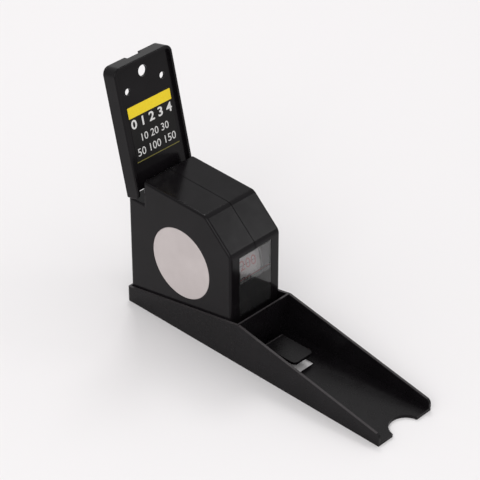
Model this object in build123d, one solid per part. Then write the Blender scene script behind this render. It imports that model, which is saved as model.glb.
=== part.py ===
from build123d import *
import math
import os

# Wall stadiometer with a spring-wound tape, in millimetres, +Z up.
# X runs across the case, -Y points at the tip of the foot and y = 0 is the wall plane.
# z = 0 is the flat underside of the foot. The rest pose has the tape wound in and the
# wall bracket leaning back on its pivot.

# Foot
FOOT_LENGTH = 190.5
FOOT_WALL = 1.5
FOOT_SIDE_GAP = 0.3
SEAT_CLEARANCE = 0.15
FOOT_FLOOR = 2.0
FOOT_REAR_HEIGHT = 9.5
FOOT_PEAK_HEIGHT = 26.2
FOOT_TIP_HEIGHT = 7.2
FOOT_REAR_WALL = 1.85
FOOT_CORNER_RADIUS = 2.0
FOOT_TIP_RADIUS = 3.0
FOOT_REAR_EDGE_RADIUS = 1.0
FOOT_PEAK_RADIUS = 2.0
TIP_NOTCH_RADIUS = 10.0
TIP_NOTCH_OVERHANG = 1.5
PEAK_AHEAD_OF_CASE = 7.0

# Moulded tongue of the foot and the hole under it
TONGUE_WIDTH = 14.8
TONGUE_HEIGHT = 8.6
TONGUE_THICKNESS = 1.6
TONGUE_LENGTH = 24.0
TONGUE_RISE = 5.5
TONGUE_CORNER_RADIUS = 2.5
TONGUE_BEND_RADIUS = 3.0
TONGUE_UNDER_RADIUS = 0.8
TONGUE_HOLE_GAP = 0.7
TONGUE_HOLE_AHEAD = 1.3
TONGUE_TIP_AHEAD_OF_CASE = 37.0

# Case
CASE_WIDTH = 38.8
CASE_WALL = 2.0
CASE_FLOOR_GAP = 0.2
CASE_CHAMFER_RUN = 19.25
CASE_CHAMFER_DROP = 17.95
CASE_TOP_RISE = 1.25
CASE_EDGE_RADIUS = 1.5
CASE_CORNER_RADIUS = 2.0
CHAMFER_LOW_RADIUS = 5.0
CHAMFER_HIGH_RADIUS = 5.0
PARTING_GAP = 0.1
SEAM_WIDTH = 0.4
SEAM_DEPTH = 0.2

# Notch at the top rear of the case, where the bracket nests
NOTCH_DROP = 15.0
NOTCH_GAP = 2.2
NOTCH_BACK_GAP = 0.4
NOTCH_RADIUS = 1.0

# Window
WINDOW_WIDTH = 23.5
WINDOW_HEIGHT = 37.9
WINDOW_BELOW_AXIS = 20.05
WINDOW_OPEN_HEIGHT = 18.3
WINDOW_OPEN_DROP = 0.3
WINDOW_REBATE = 1.2
LENS_THICKNESS = 1.1
LENS_GAP = 0.1
LENS_LEDGE = 0.8
LENS_CORNER_RADIUS = 0.5
READING_ABOVE_AXIS = 2.5
READING_END_GAP = 0.2
READING_THICKNESS = 0.6
READING_DEPTH = 0.1

# Drum and tape
DRUM_FRONT_GAP = 1.75
DRUM_FLOOR_GAP = 5.75
DRUM_TOP_GAP = 3.1
TAPE_WIDTH = 16.0
TAPE_THICKNESS = 0.2
TAPE_TIGHT_TURNS = 7.6
TAPE_LOOSE_TURNS = 2.25
TAPE_LOOSE_PITCH = 0.62
TAPE_INNER_RADIUS = 31.24
TAPE_SIDE_GAP = 0.3
DRUM_RIM_THICKNESS = 2.0
DRUM_WEB = 2.0
DRUM_FLANGE = 1.0
DRUM_FLANGE_MARGIN = 0.35
TAPE_SEAT_GAP = 0.1
DRUM_HUB_DIAMETER = 14.0
DRUM_HUB_LENGTH = 4.0
DRUM_BOSS_DIAMETER = 5.0
DRUM_BOSSES = 3
DRUM_BOSS_MERGE = 0.4
FLANGE_BORE = 9.0
BUSH_DIAMETER = 10.0
AXLE_DIAMETER = 8.0
BUSH_CLEARANCE = 0.03
WASHER_DIAMETER = 17.0
WASHER_THICKNESS = 0.5
WASHER_GAP = 0.05
COVER_GAP = 0.1
ANCHOR_DIAMETER = 1.6

# Retraction spring
SPRING_TURNS = 7
SPRING_PITCH = 2.6
SPRING_THICKNESS = 0.4
SPRING_WIDTH = 8.0
SPRING_SIDE_GAP = 0.5
SPRING_INNER_RADIUS = 4.4

# Axle seats of the case
AXLE_SEAT_DIAMETER = 13.0
AXLE_FIT = 0.05
AXLE_END_GAP = 0.2

# Disc let into the side of the case
DISC_DIAMETER = 43.8
DISC_RECESS = 0.8
DISC_THICKNESS = 0.7
DISC_GAP = 0.1
DISC_CHAMFER = 0.25

# Tape exit
GUIDE_END = 1.6
GUIDE_DEPTH = 5.0
GUIDE_HEIGHT = 2.6
GUIDE_SLOT_GAP = 0.4
GUIDE_FIT = 0.1
GUIDE_PROUD = 0.3
GUIDE_SEAT_DEPTH = 4.0
GUIDE_CORNER_RADIUS = 1.0

# Hinged tape end
PIVOT_ABOVE_NOTCH = 7.7
PIN_DIAMETER = 2.5
PIN_CLEARANCE = 0.05
BARREL_DIAMETER = 4.6
HOOK_THICKNESS = 0.8
HOOK_DROP = 6.4
CLAMP_HEIGHT = 3.6
RIVET_DIAMETER = 1.6
RIVET_HEAD_DIAMETER = 2.6
RIVET_HEAD = 0.4
RIVET_SPACING = 9.0
STRIP_TOP_GAP = 0.4

# Wall bracket
BRACKET_LEAN_ANGLE = 12.85
BRACKET_WIDTH = 43.4
BRACKET_DEPTH = 9.4
BRACKET_RIM_DEPTH = 2.0
BRACKET_PLATE = 1.8
PLATE_BARREL_GAP = 0.35
PLATE_LUG_GAP = 1.0
PLATE_SIDE_BELOW_PIVOT = 1.2
BRACKET_FLANGE = 1.8
BRACKET_BELOW_PIVOT = 5.5
BRACKET_ABOVE_PIVOT = 71.7
BRACKET_BACK_TO_PIVOT = 6.1
BRACKET_CORNER_RADIUS = 4.5
BRACKET_EDGE_RADIUS = 0.8
BRACKET_FOOT_RADIUS = 4.0
BRACKET_NOTCH_WIDTH = 10.0
BRACKET_NOTCH_RUN = 2.6
TOP_SCREW_HOLE = 6.5
TOP_SCREW_DROP = 8.3
LOWER_SCREW_HOLE = 4.0
LOWER_SCREW_DROP = 16.0
LOWER_SCREW_SPACING = 26.0
LUG_GAP = 0.4
LUG_WIDTH = 3.0
LUG_RADIUS = 2.6
LUG_SNAP = 2.1

# Label on the bracket
LABEL_WIDTH = 32.2
LABEL_HEIGHT = 33.6
LABEL_DROP = 23.8
LABEL_THICKNESS = 0.15

# Fasteners
CASE_SCREW_DIAMETER = 2.6
CASE_SCREW_LENGTH = 22.0
CASE_SCREW_HEAD = 5.0
CASE_SCREW_HEAD_HEIGHT = 1.8
CASE_SCREW_SINK = 2.6
CASE_BOSS_DIAMETER = 6.4
CASE_SCREW_INSET = 5.6
CASE_BOSS_CLEAR_HOLE = 3.0
FOOT_SCREW_DIAMETER = 2.6
FOOT_SCREW_LENGTH = 7.0
FOOT_SCREW_HEAD = 5.0
FOOT_SCREW_HEAD_HEIGHT = 1.2
FOOT_SCREW_SPACING_X = 22.0
FOOT_SCREW_INSET = 12.0
FOOT_PILLAR_DIAMETER = 6.4
DRUM_SCREW_DIAMETER = 1.6
DRUM_SCREW_LENGTH = 5.0
DRUM_SCREW_HEAD = 3.0
DRUM_SCREW_HEAD_HEIGHT = 0.7
AXLE_SCREW_DIAMETER = 3.0
AXLE_SCREW_LENGTH = 9.0
AXLE_SCREW_HEAD = 6.0
AXLE_SCREW_HEAD_HEIGHT = 2.0
SCREW_HEAD_CHAMFER = 0.3
RECESS_WIDTH = 0.7
RECESS_REACH = 0.6
RECESS_DEPTH = 0.5
SCREW_HEAD_GAP = 0.2
SCREW_HOLE_GAP = 0.2
SCREW_END_GAP = 1.0
AXLE_SCREW_PROUD = 0.6

# How far a cut runs past the face that it opens, how far a large one runs clear of the
# whole body, and how deep a joined form sinks into the one that it grows from
OVERCUT = 1.0
CUT_REACH = 5.0
OVERLAP = 0.5

# Places worked out from the dimensions above
FOOT_WIDTH = CASE_WIDTH + 2 * (FOOT_SIDE_GAP + FOOT_WALL)
CASE_SIDE_X = CASE_WIDTH / 2
CASE_INNER_X = CASE_SIDE_X - CASE_WALL
CASE_BOTTOM_Z = FOOT_FLOOR + CASE_FLOOR_GAP
TAPE_PACK_RADIUS = TAPE_INNER_RADIUS + TAPE_THICKNESS * TAPE_TIGHT_TURNS
TAPE_OUTER_RADIUS = TAPE_PACK_RADIUS + TAPE_LOOSE_PITCH * TAPE_LOOSE_TURNS
DRUM_FLANGE_RADIUS = TAPE_OUTER_RADIUS + TAPE_THICKNESS / 2 + DRUM_FLANGE_MARGIN
CASE_BACK_Y = -(FOOT_REAR_WALL + SEAT_CLEARANCE)
TAPE_Y = CASE_BACK_Y - NOTCH_BACK_GAP - BRACKET_BACK_TO_PIVOT
DRUM_Y = TAPE_Y - TAPE_OUTER_RADIUS
DRUM_Z = CASE_BOTTOM_Z + CASE_WALL + DRUM_FLOOR_GAP + DRUM_FLANGE_RADIUS
CASE_FRONT_Y = DRUM_Y - DRUM_FLANGE_RADIUS - DRUM_FRONT_GAP - CASE_WALL
CASE_TOP_FRONT = DRUM_Z + DRUM_FLANGE_RADIUS + DRUM_TOP_GAP + CASE_WALL
CASE_TOP_REAR = CASE_TOP_FRONT + CASE_TOP_RISE
CASE_FRONT_HEIGHT = CASE_TOP_FRONT - CASE_CHAMFER_DROP
NOTCH_FLOOR = CASE_TOP_REAR - NOTCH_DROP
NOTCH_FRONT_Y = TAPE_Y + BRACKET_BACK_TO_PIVOT - BRACKET_DEPTH - NOTCH_GAP
PIVOT_HEIGHT = NOTCH_FLOOR + PIVOT_ABOVE_NOTCH
WINDOW_SILL = DRUM_Z - WINDOW_BELOW_AXIS
WINDOW_TOP = WINDOW_SILL + WINDOW_HEIGHT
WINDOW_OPEN_TOP = WINDOW_TOP - WINDOW_OPEN_DROP
WINDOW_OPEN_SILL = WINDOW_OPEN_TOP - WINDOW_OPEN_HEIGHT
PEAK_Y = CASE_FRONT_Y - PEAK_AHEAD_OF_CASE
TIP_Y = -FOOT_LENGTH
DRUM_HALF_WIDTH = TAPE_WIDTH / 2 + TAPE_SIDE_GAP
DRUM_RIM_OUTER = TAPE_INNER_RADIUS - TAPE_THICKNESS / 2 - TAPE_SEAT_GAP
DRUM_RIM_INNER = DRUM_RIM_OUTER - DRUM_RIM_THICKNESS
DRUM_FACE_X = DRUM_HALF_WIDTH + DRUM_FLANGE
DRUM_BOSS_CIRCLE = DRUM_RIM_INNER - DRUM_BOSS_DIAMETER / 2 + DRUM_BOSS_MERGE
ANCHOR_CIRCLE = DRUM_RIM_OUTER - ANCHOR_DIAMETER / 2 - TAPE_SEAT_GAP
AXLE_SEAT_X = DRUM_FACE_X + 2 * WASHER_GAP + WASHER_THICKNESS
GUIDE_SLOT_LENGTH = TAPE_WIDTH + 2 * GUIDE_SLOT_GAP
GUIDE_SLOT_WIDTH = TAPE_THICKNESS + 2 * GUIDE_SLOT_GAP
GUIDE_LENGTH = GUIDE_SLOT_LENGTH + 2 * GUIDE_END
BRACKET_FRONT = BRACKET_BACK_TO_PIVOT - BRACKET_DEPTH
PLATE_FRONT = BRACKET_FRONT + BRACKET_RIM_DEPTH
PLATE_BACK = PLATE_FRONT + BRACKET_PLATE
LUG_INNER = TAPE_WIDTH / 2 + LUG_GAP
PLATE_LOW = BARREL_DIAMETER / 2 + PLATE_BARREL_GAP
TOP_SCREW_HEIGHT = BRACKET_ABOVE_PIVOT - TOP_SCREW_DROP
LOWER_SCREW_HEIGHT = BRACKET_ABOVE_PIVOT - LOWER_SCREW_DROP
LABEL_HIGH = BRACKET_ABOVE_PIVOT - LABEL_DROP
LABEL_LOW = LABEL_HIGH - LABEL_HEIGHT
LEAN = Location((0, TAPE_Y, PIVOT_HEIGHT), (-BRACKET_LEAN_ANGLE, 0, 0))


def block(x0, x1, y0, y1, z0, z1):
    """Box between two corners."""
    middle = ((x0 + x1) / 2, (y0 + y1) / 2, (z0 + z1) / 2)
    return Pos(*middle) * Box(x1 - x0, y1 - y0, z1 - z0)


def rod_x(diameter, x0, x1, y=0.0, z=0.0):
    """Round bar along X."""
    return Pos((x0 + x1) / 2, y, z) * Rot(0, 90, 0) * Cylinder(diameter / 2, x1 - x0)


def rod_y(diameter, y0, y1, x=0.0, z=0.0):
    """Round bar along Y."""
    return Pos(x, (y0 + y1) / 2, z) * Rot(90, 0, 0) * Cylinder(diameter / 2, y1 - y0)


def rod_z(diameter, z0, z1, x=0.0, y=0.0):
    """Round bar along Z."""
    return Pos(x, y, (z0 + z1) / 2) * Cylinder(diameter / 2, z1 - z0)


def side_face(corners):
    """Face in the YZ plane from (y, z, radius) corners, each rounded by its radius."""
    points = [(y, z) for y, z, radius in corners]
    face = make_face(Polyline(*points, close=True))
    for y, z, radius in corners:
        if radius > 0:
            corner = face.vertices().sort_by_distance(Vector(y, z, 0))[0]
            face = fillet(corner, radius)
    return Plane.YZ * face


def prism_x(face, half_width):
    """Extrude a YZ face to both sides of the middle plane."""
    return extrude(face, amount=half_width, dir=(1, 0, 0), both=True)


def case_corners():
    """Side outline of the case."""
    return [
        (CASE_BACK_Y, CASE_BOTTOM_Z, CASE_CORNER_RADIUS),
        (CASE_BACK_Y, NOTCH_FLOOR, NOTCH_RADIUS),
        (NOTCH_FRONT_Y, NOTCH_FLOOR, 0),
        (NOTCH_FRONT_Y, CASE_TOP_REAR, NOTCH_RADIUS),
        (CASE_FRONT_Y + CASE_CHAMFER_RUN, CASE_TOP_FRONT, CHAMFER_HIGH_RADIUS),
        (CASE_FRONT_Y, CASE_FRONT_HEIGHT, CHAMFER_LOW_RADIUS),
        (CASE_FRONT_Y, CASE_BOTTOM_Z, CASE_CORNER_RADIUS),
    ]


def foot_corners():
    """Side outline of the foot."""
    return [
        (0, 0, 0),
        (0, FOOT_REAR_HEIGHT, FOOT_REAR_EDGE_RADIUS),
        (PEAK_Y, FOOT_PEAK_HEIGHT, FOOT_PEAK_RADIUS),
        (TIP_Y, FOOT_TIP_HEIGHT, FOOT_TIP_RADIUS),
        (TIP_Y, 0, 0),
    ]


def foot_screw_places():
    """Centres of the screws that hold the case on the foot."""
    rear = CASE_BACK_Y - FOOT_SCREW_INSET
    front = CASE_FRONT_Y + FOOT_SCREW_INSET
    return [(side * FOOT_SCREW_SPACING_X / 2, y) for side in (-1, 1) for y in (rear, front)]


def case_screw_places():
    """Centres (y, z) of the screws that join the case halves."""
    return [
        (CASE_BACK_Y - CASE_SCREW_INSET, FOOT_REAR_HEIGHT + CASE_SCREW_INSET),
        (CASE_FRONT_Y + CASE_SCREW_INSET, CASE_BOTTOM_Z + CASE_SCREW_INSET),
        (CASE_FRONT_Y + CASE_CHAMFER_RUN, CASE_TOP_FRONT - CASE_SCREW_INSET),
        (NOTCH_FRONT_Y - CASE_SCREW_INSET, CASE_TOP_REAR - CASE_SCREW_INSET),
    ]


def axle_screw_seat():
    """Where the head of the axle screw sits, along X."""
    return CASE_SIDE_X - AXLE_SCREW_HEAD_HEIGHT + AXLE_SCREW_PROUD


def boss_angles():
    """Angles of the bosses inside the drum."""
    return [90 + 360 / DRUM_BOSSES * index for index in range(DRUM_BOSSES)]


def on_drum(angle, radius):
    """Point (y, z) at an angle and a radius from the drum axis."""
    turn = math.radians(angle)
    return DRUM_Y + radius * math.cos(turn), DRUM_Z + radius * math.sin(turn)


def tongue():
    """Raised tongue that grows out of the foot's floor."""
    tip_y = CASE_FRONT_Y - TONGUE_TIP_AHEAD_OF_CASE
    bend_y = tip_y + TONGUE_LENGTH
    root_y = bend_y + TONGUE_RISE
    low = TONGUE_HEIGHT - TONGUE_THICKNESS
    profile = [
        (root_y + OVERLAP, FOOT_FLOOR / 2, 0),
        (root_y + OVERLAP, FOOT_FLOOR, 0),
        (root_y, FOOT_FLOOR, 0),
        (bend_y, TONGUE_HEIGHT, TONGUE_BEND_RADIUS),
        (tip_y, TONGUE_HEIGHT, 0),
        (tip_y, low, 0),
        (bend_y + TONGUE_UNDER_RADIUS, low, TONGUE_UNDER_RADIUS),
        (root_y - OVERCUT, FOOT_FLOOR / 2, 0),
    ]
    shape = prism_x(side_face(profile), TONGUE_WIDTH / 2)
    corners = shape.edges().filter_by(Axis.Z).sort_by(Axis.Y)[:2]
    return fillet(corners, TONGUE_CORNER_RADIUS), root_y, tip_y


def foot_tray():
    """Foot that rests on the head: a tapered channel with the case seat behind."""
    high = FOOT_PEAK_HEIGHT + CUT_REACH
    plan = block(-FOOT_WIDTH / 2, FOOT_WIDTH / 2, TIP_Y, 0, 0, high)
    rear_edges = plan.edges().filter_by(Axis.Z).sort_by(Axis.Y)[-2:]
    plan = fillet(rear_edges, FOOT_CORNER_RADIUS)
    shape = plan & prism_x(side_face(foot_corners()), FOOT_WIDTH)
    inner = FOOT_WIDTH / 2 - FOOT_WALL
    seat = block(-inner, inner, PEAK_Y + FOOT_WALL, -FOOT_REAR_WALL, FOOT_FLOOR, high)
    seat_corners = seat.edges().filter_by(Axis.Z).sort_by(Axis.Y)[-2:]
    seat = fillet(seat_corners, FOOT_CORNER_RADIUS - FOOT_WALL)
    channel = block(-inner, inner, TIP_Y - CUT_REACH, PEAK_Y, FOOT_FLOOR, high)
    shape = shape - seat - channel
    notch_y = TIP_Y - TIP_NOTCH_OVERHANG
    shape = shape - rod_z(2 * TIP_NOTCH_RADIUS, -OVERCUT, FOOT_FLOOR + OVERCUT, 0, notch_y)
    lever, root_y, tip_y = tongue()
    half = TONGUE_WIDTH / 2 + TONGUE_HOLE_GAP
    hole_tip = tip_y - TONGUE_HOLE_AHEAD
    hole = block(-half, half, hole_tip, root_y - OVERCUT, -OVERCUT, FOOT_FLOOR + OVERCUT)
    shape = shape - hole + lever
    bore = FOOT_SCREW_DIAMETER + 2 * SCREW_HOLE_GAP
    sink = FOOT_SCREW_HEAD_HEIGHT + SCREW_HEAD_GAP
    for x, y in foot_screw_places():
        shape = shape - rod_z(bore, -OVERCUT, FOOT_FLOOR + OVERCUT, x, y)
        shape = shape - rod_z(FOOT_SCREW_HEAD + 2 * SCREW_HEAD_GAP, -OVERCUT, sink, x, y)
    return shape


def case_blank():
    """Outer form of the case with its edges rounded and the parting groove cut."""
    outline = side_face(case_corners())
    shape = prism_x(outline, CASE_SIDE_X)
    side_edges = shape.faces().filter_by(Axis.X).edges()
    shape = fillet(side_edges, CASE_EDGE_RADIUS)
    ring = prism_x(outline, SEAM_WIDTH / 2)
    core = prism_x(offset(outline, -SEAM_DEPTH), SEAM_WIDTH)
    return shape - (ring - core)


def case_shell():
    """Hollow case with the window, the tape exit, the axle seats and the bosses."""
    outline = side_face([(y, z, 0) for y, z, radius in case_corners()])
    inside = offset(outline, -CASE_WALL, kind=Kind.INTERSECTION)
    shape = case_blank() - prism_x(inside, CASE_INNER_X)
    half = WINDOW_WIDTH / 2
    rebate = half + LENS_LEDGE
    low = WINDOW_SILL - LENS_LEDGE
    high = WINDOW_TOP + LENS_LEDGE
    seat_y = CASE_FRONT_Y + WINDOW_REBATE
    shape = shape - block(-rebate, rebate, CASE_FRONT_Y - OVERCUT, seat_y, low, high)
    outer_y = CASE_FRONT_Y - OVERCUT
    inner_y = CASE_FRONT_Y + CASE_WALL + OVERCUT
    shape = shape - block(-half, half, outer_y, inner_y, WINDOW_OPEN_SILL, WINDOW_OPEN_TOP)
    guide_x = GUIDE_LENGTH / 2 + GUIDE_FIT
    guide_y = GUIDE_DEPTH / 2 + GUIDE_FIT
    low = NOTCH_FLOOR - GUIDE_SEAT_DEPTH
    high = NOTCH_FLOOR + OVERCUT
    shape = shape - block(-guide_x, guide_x, TAPE_Y - guide_y, TAPE_Y + guide_y, low, high)
    for side in (-1, 1):
        inner_end = side * AXLE_SEAT_X
        outer_end = side * (CASE_INNER_X + OVERLAP)
        ends = sorted((inner_end, outer_end))
        shape = shape + rod_x(AXLE_SEAT_DIAMETER, ends[0], ends[1], DRUM_Y, DRUM_Z)
    bore = AXLE_DIAMETER + 2 * AXLE_FIT
    shape = shape - rod_x(bore, -CASE_INNER_X, CASE_INNER_X, DRUM_Y, DRUM_Z)
    boss_end = CASE_INNER_X + OVERLAP
    for y, z in case_screw_places():
        shape = shape + rod_x(CASE_BOSS_DIAMETER, -boss_end, boss_end, y, z)
    for x, y in foot_screw_places():
        hole_end = FOOT_SCREW_HEAD_HEIGHT + SCREW_HEAD_GAP + FOOT_SCREW_LENGTH + SCREW_HEAD_GAP
        top = hole_end + SCREW_END_GAP
        shape = shape + rod_z(FOOT_PILLAR_DIAMETER, CASE_BOTTOM_Z, top, x, y)
        shape = shape - rod_z(FOOT_SCREW_DIAMETER, CASE_BOTTOM_Z - OVERCUT, hole_end, x, y)
    return shape


def case_halves():
    """Split the shell on the middle plane and cut what differs from side to side."""
    shell = case_shell()
    gap = PARTING_GAP / 2
    reach = CASE_SIDE_X + CUT_REACH
    low = CASE_BOTTOM_Z - CUT_REACH
    high = CASE_TOP_REAR + CUT_REACH
    front = CASE_FRONT_Y - CUT_REACH
    left = shell & block(-reach, -gap, front, CUT_REACH, low, high)
    right = shell & block(gap, reach, front, CUT_REACH, low, high)
    recess = DISC_DIAMETER + 2 * DISC_GAP
    left = left - rod_x(recess, -reach, -CASE_SIDE_X + DISC_RECESS, DRUM_Y, DRUM_Z)
    screw_end = CASE_SIDE_X - CASE_SCREW_SINK - CASE_SCREW_LENGTH
    head = CASE_SCREW_HEAD + 2 * SCREW_HEAD_GAP
    for y, z in case_screw_places():
        left = left - rod_x(CASE_SCREW_DIAMETER, screw_end - SCREW_END_GAP, 0, y, z)
        right = right - rod_x(CASE_BOSS_CLEAR_HOLE, 0, reach, y, z)
        right = right - rod_x(head, CASE_SIDE_X - CASE_SCREW_SINK, reach, y, z)
    right = right - rod_x(AXLE_SCREW_DIAMETER + 2 * SCREW_HOLE_GAP, 0, reach, DRUM_Y, DRUM_Z)
    right = right - rod_x(
        AXLE_SCREW_HEAD + 2 * SCREW_HEAD_GAP, axle_screw_seat(), reach, DRUM_Y, DRUM_Z
    )
    return left, right


def window_lens():
    """Clear pane in the front of the case."""
    half = WINDOW_WIDTH / 2 + LENS_LEDGE - LENS_GAP
    low = WINDOW_SILL - LENS_LEDGE + LENS_GAP
    high = WINDOW_TOP + LENS_LEDGE - LENS_GAP
    back = CASE_FRONT_Y + WINDOW_REBATE
    pane = block(-half, half, back - LENS_THICKNESS, back, low, high)
    return fillet(pane.edges().filter_by(Axis.Y), LENS_CORNER_RADIUS)


def reading_line():
    """Line across the inner face of the lens, where the height is read."""
    half = WINDOW_WIDTH / 2 - READING_END_GAP
    back = CASE_FRONT_Y + WINDOW_REBATE
    low = DRUM_Z + READING_ABOVE_AXIS - READING_THICKNESS / 2
    return block(-half, half, back, back + READING_DEPTH, low, low + READING_THICKNESS)


def side_disc():
    """Flat disc let into the left side of the case."""
    outer = -CASE_SIDE_X + DISC_RECESS - DISC_THICKNESS
    disc = rod_x(DISC_DIAMETER, outer, -CASE_SIDE_X + DISC_RECESS, DRUM_Y, DRUM_Z)
    rim = disc.edges().sort_by(Axis.X)[0]
    return chamfer(rim, DISC_CHAMFER)


def exit_guide():
    """Slotted insert that the tape slides through."""
    half = GUIDE_LENGTH / 2
    depth = GUIDE_DEPTH / 2
    top = NOTCH_FLOOR + GUIDE_PROUD
    guide = block(-half, half, TAPE_Y - depth, TAPE_Y + depth, top - GUIDE_HEIGHT, top)
    guide = fillet(guide.edges().filter_by(Axis.Z), GUIDE_CORNER_RADIUS)
    slot_x = GUIDE_SLOT_LENGTH / 2
    slot_y = GUIDE_SLOT_WIDTH / 2
    low = top - GUIDE_HEIGHT - OVERCUT
    high = top + OVERCUT
    return guide - block(-slot_x, slot_x, TAPE_Y - slot_y, TAPE_Y + slot_y, low, high)


def plain_screw(diameter, length, head, head_height):
    """Screw along -Z with the underside of its chamfered head at the origin."""
    shape = rod_z(diameter, -length, 0) + rod_z(head, 0, head_height)
    rim = shape.edges().sort_by(Axis.Z)[-1]
    return chamfer(rim, head_height * SCREW_HEAD_CHAMFER)


def crosshead_screw(diameter, length, head, head_height):
    """The same screw with a cross recess in its head."""
    shape = plain_screw(diameter, length, head, head_height)
    arm = head * RECESS_REACH
    depth = head_height * RECESS_DEPTH
    for turn in (0, 90):
        recess = Box(arm, RECESS_WIDTH, 2 * depth)
        shape = shape - Pos(0, 0, head_height) * Rot(0, 0, turn) * recess
    return shape


def case_screws():
    """Screws that pull the right half onto the left half."""
    screw = crosshead_screw(
        CASE_SCREW_DIAMETER, CASE_SCREW_LENGTH, CASE_SCREW_HEAD, CASE_SCREW_HEAD_HEIGHT
    )
    seat = CASE_SIDE_X - CASE_SCREW_SINK
    return [Pos(seat, y, z) * Rot(0, 90, 0) * screw for y, z in case_screw_places()]


def foot_screws():
    """Screws that hold the foot under the case."""
    screw = crosshead_screw(
        FOOT_SCREW_DIAMETER, FOOT_SCREW_LENGTH, FOOT_SCREW_HEAD, FOOT_SCREW_HEAD_HEIGHT
    )
    seat = FOOT_SCREW_HEAD_HEIGHT + SCREW_HEAD_GAP
    return [Pos(x, y, seat) * Rot(180, 0, 0) * screw for x, y in foot_screw_places()]


def axle():
    """Fixed axle with the slot that holds the inner end of the spring."""
    end = CASE_INNER_X - AXLE_END_GAP
    shape = rod_x(AXLE_DIAMETER, -end, end, DRUM_Y, DRUM_Z)
    slot = block(
        -SPRING_WIDTH / 2 - SPRING_SIDE_GAP,
        SPRING_WIDTH / 2 + SPRING_SIDE_GAP,
        DRUM_Y,
        DRUM_Y + AXLE_DIAMETER,
        DRUM_Z - SPRING_THICKNESS,
        DRUM_Z + SPRING_THICKNESS,
    )
    shape = shape - slot
    return shape - rod_x(AXLE_SCREW_DIAMETER, end - AXLE_SCREW_LENGTH, end + OVERCUT, DRUM_Y, DRUM_Z)


def axle_screw():
    """Screw through the right half into the end of the axle."""
    screw = crosshead_screw(
        AXLE_SCREW_DIAMETER, AXLE_SCREW_LENGTH, AXLE_SCREW_HEAD, AXLE_SCREW_HEAD_HEIGHT
    )
    return Pos(axle_screw_seat(), DRUM_Y, DRUM_Z) * Rot(0, 90, 0) * screw


def axle_washers():
    """Thrust washers between the drum and the seats of the axle."""
    washers = []
    for side in (-1, 1):
        ends = sorted((side * (DRUM_FACE_X + WASHER_GAP), side * (AXLE_SEAT_X - WASHER_GAP)))
        ring = rod_x(WASHER_DIAMETER, ends[0], ends[1], DRUM_Y, DRUM_Z)
        bore = rod_x(AXLE_DIAMETER + 2 * AXLE_FIT, ends[0] - OVERCUT, ends[1] + OVERCUT, DRUM_Y, DRUM_Z)
        washers.append(ring - bore)
    return washers


def spiral_strip(inner_radius, pitch, turns, end_angle, thickness, half_width):
    """One unbroken strip wound on the drum axis, built from quarter-turn arcs."""
    quarters = round(turns * 4)
    start_angle = end_angle - quarters * 90
    edges = []
    for side in (-1, 1):
        points = []
        for index in range(2 * quarters + 1):
            angle = start_angle + index * 45
            radius = inner_radius + pitch * index / 8 + side * thickness / 2
            points.append(on_drum(angle, radius))
        arcs = [
            ThreePointArc(points[2 * index], points[2 * index + 1], points[2 * index + 2])
            for index in range(quarters)
        ]
        edges.append((arcs, points[0], points[-1]))
    inner_arcs, inner_start, inner_end = edges[0]
    outer_arcs, outer_start, outer_end = edges[1]
    loop = inner_arcs + outer_arcs + [Line(inner_start, outer_start), Line(inner_end, outer_end)]
    face = make_face(Wire([part.edge() for part in loop]))
    return prism_x(Plane.YZ * face, half_width)


def least_gap(inner_radius, pitch, turns, thickness):
    """Least distance between neighbouring turns of a strip, measured on points."""
    steps = 72
    count = round(turns * steps)
    lines = []
    for side in (-1, 1):
        line = []
        for index in range(count + 1):
            angle = 360 / steps * index
            radius = inner_radius + pitch * index / steps + side * thickness / 2
            line.append(on_drum(angle, radius))
        lines.append(line)
    inner_line, outer_line = lines
    gaps = []
    for index in range(count + 1 - steps):
        near = outer_line[index]
        for shift in (-2, -1, 0, 1, 2):
            other = index + steps + shift
            if other <= count:
                gaps.append(math.dist(near, inner_line[other]))
    return min(gaps)


def tape_roll():
    """The two metres of tape on the drum: tight inner turns and loose outer ones."""
    half = TAPE_WIDTH / 2
    inner = TAPE_INNER_RADIUS - TAPE_THICKNESS / 2
    pack = rod_x(2 * TAPE_PACK_RADIUS, -half, half, DRUM_Y, DRUM_Z)
    pack = pack - rod_x(2 * inner, -half - OVERCUT, half + OVERCUT, DRUM_Y, DRUM_Z)
    outer = spiral_strip(
        TAPE_PACK_RADIUS, TAPE_LOOSE_PITCH, TAPE_LOOSE_TURNS, 0, TAPE_THICKNESS, half
    )
    return pack + outer


def retraction_spring():
    """Flat spiral spring between the axle and the drum."""
    return spiral_strip(
        SPRING_INNER_RADIUS, SPRING_PITCH, SPRING_TURNS, 0, SPRING_THICKNESS, SPRING_WIDTH / 2
    )


def drum_core():
    """Rim, web and hub of the drum with the bosses for its screws."""
    half = DRUM_HALF_WIDTH
    rim = rod_x(2 * DRUM_RIM_OUTER, -half, half, DRUM_Y, DRUM_Z)
    pocket = rod_x(2 * DRUM_RIM_INNER, -half + DRUM_WEB, half + OVERCUT, DRUM_Y, DRUM_Z)
    shape = rim - pocket
    shape = shape + rod_x(DRUM_HUB_DIAMETER, -half, -half + DRUM_HUB_LENGTH, DRUM_Y, DRUM_Z)
    shape = shape - rod_x(BUSH_DIAMETER, -half - OVERCUT, half + OVERCUT, DRUM_Y, DRUM_Z)
    for angle in boss_angles():
        y, z = on_drum(angle, DRUM_BOSS_CIRCLE)
        boss_end = half - DRUM_WEB - COVER_GAP
        shape = shape + rod_x(DRUM_BOSS_DIAMETER, -half, boss_end, y, z)
        shape = shape - rod_x(DRUM_SCREW_DIAMETER, -half - OVERCUT, half + OVERCUT, y, z)
    y, z = on_drum(-90, ANCHOR_CIRCLE)
    return shape - rod_x(ANCHOR_DIAMETER, -half - OVERCUT, half + OVERCUT, y, z)


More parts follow.
